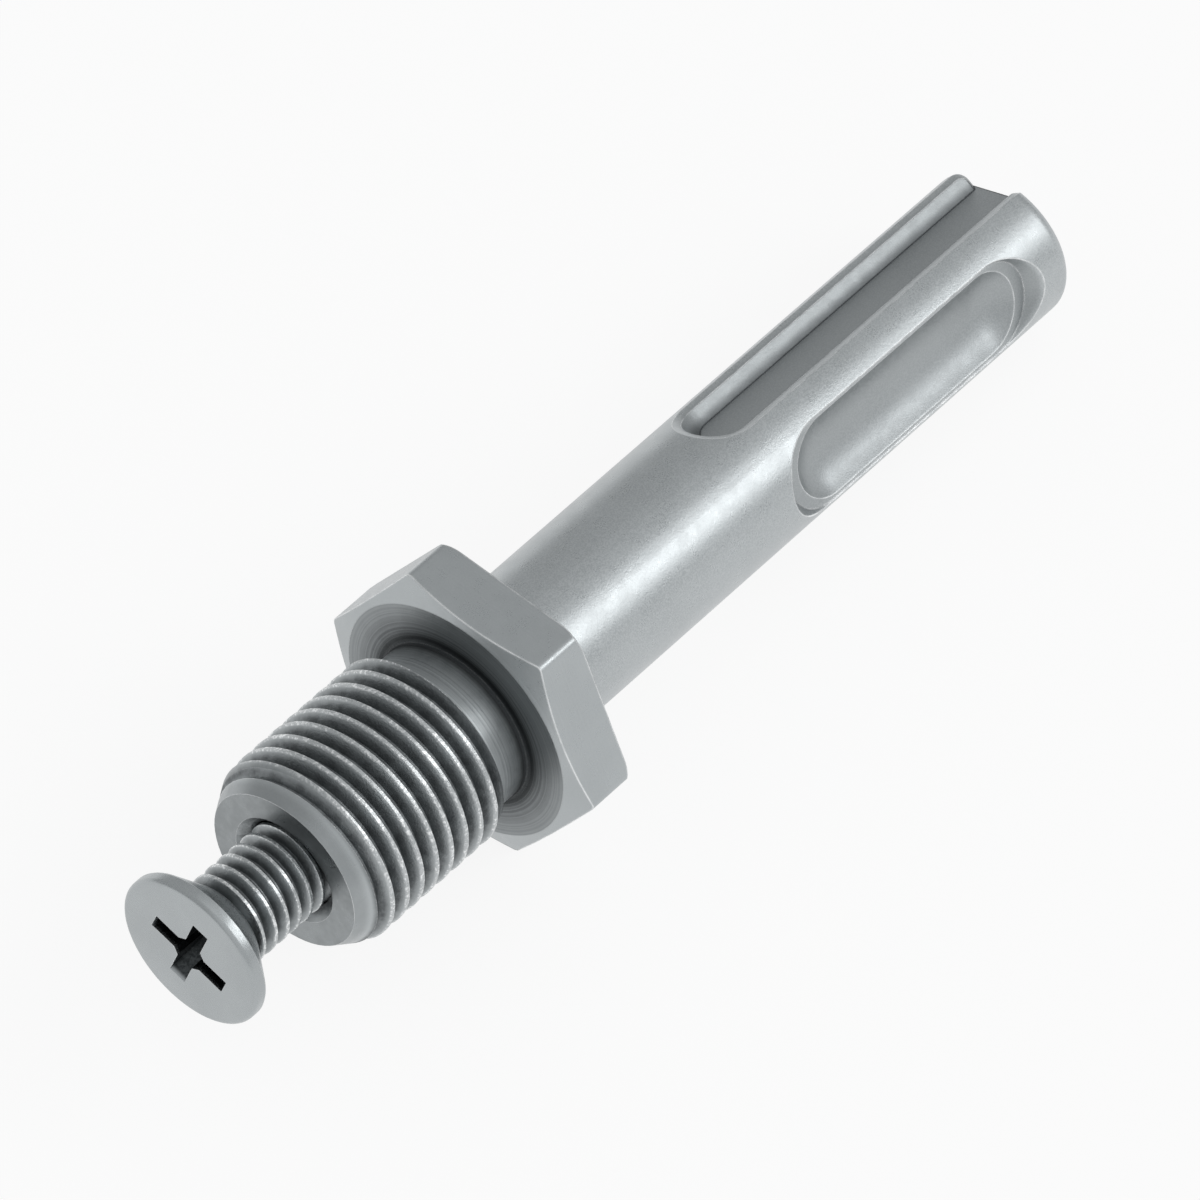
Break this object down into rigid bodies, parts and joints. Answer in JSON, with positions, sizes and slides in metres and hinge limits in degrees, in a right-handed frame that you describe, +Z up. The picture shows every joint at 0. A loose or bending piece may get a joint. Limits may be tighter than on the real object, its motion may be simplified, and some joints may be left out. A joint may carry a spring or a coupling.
{
  "type": "sds adapter",
  "caption": "Steel adapter with a grooved hammer-drill shank, a hex collar and a threaded stub that takes a screw-on drill chuck, with the countersunk screw that locks the chuck.",
  "frame": {"origin": "where the adapter's axis crosses the collar's front face, against which the chuck seats", "axes": "the adapter lies as it rests on a table, on one flat of the hex collar and the shank's end: +Z is up, and the axis runs towards the shank's end along +X, sloping down by 4.4 degrees"},
  "size_m": [0.0737, 0.0194, 0.0173],
  "materials": {
    "body_steel": "satin, blasted and plated bluish-grey steel",
    "screw_steel": "satin plated steel"
  },
  "bodies": {
    "adapter": {"adapter_body": "body_steel"},
    "screw": {"retaining_screw": "screw_steel"}
  },
  "joints": [
    {"name": "screw_travel", "type": "slide", "parent": "adapter", "child": "screw", "axis": [0.9971, 0, -0.0765], "range_m": [-0.012, 0.006]}
  ]
}
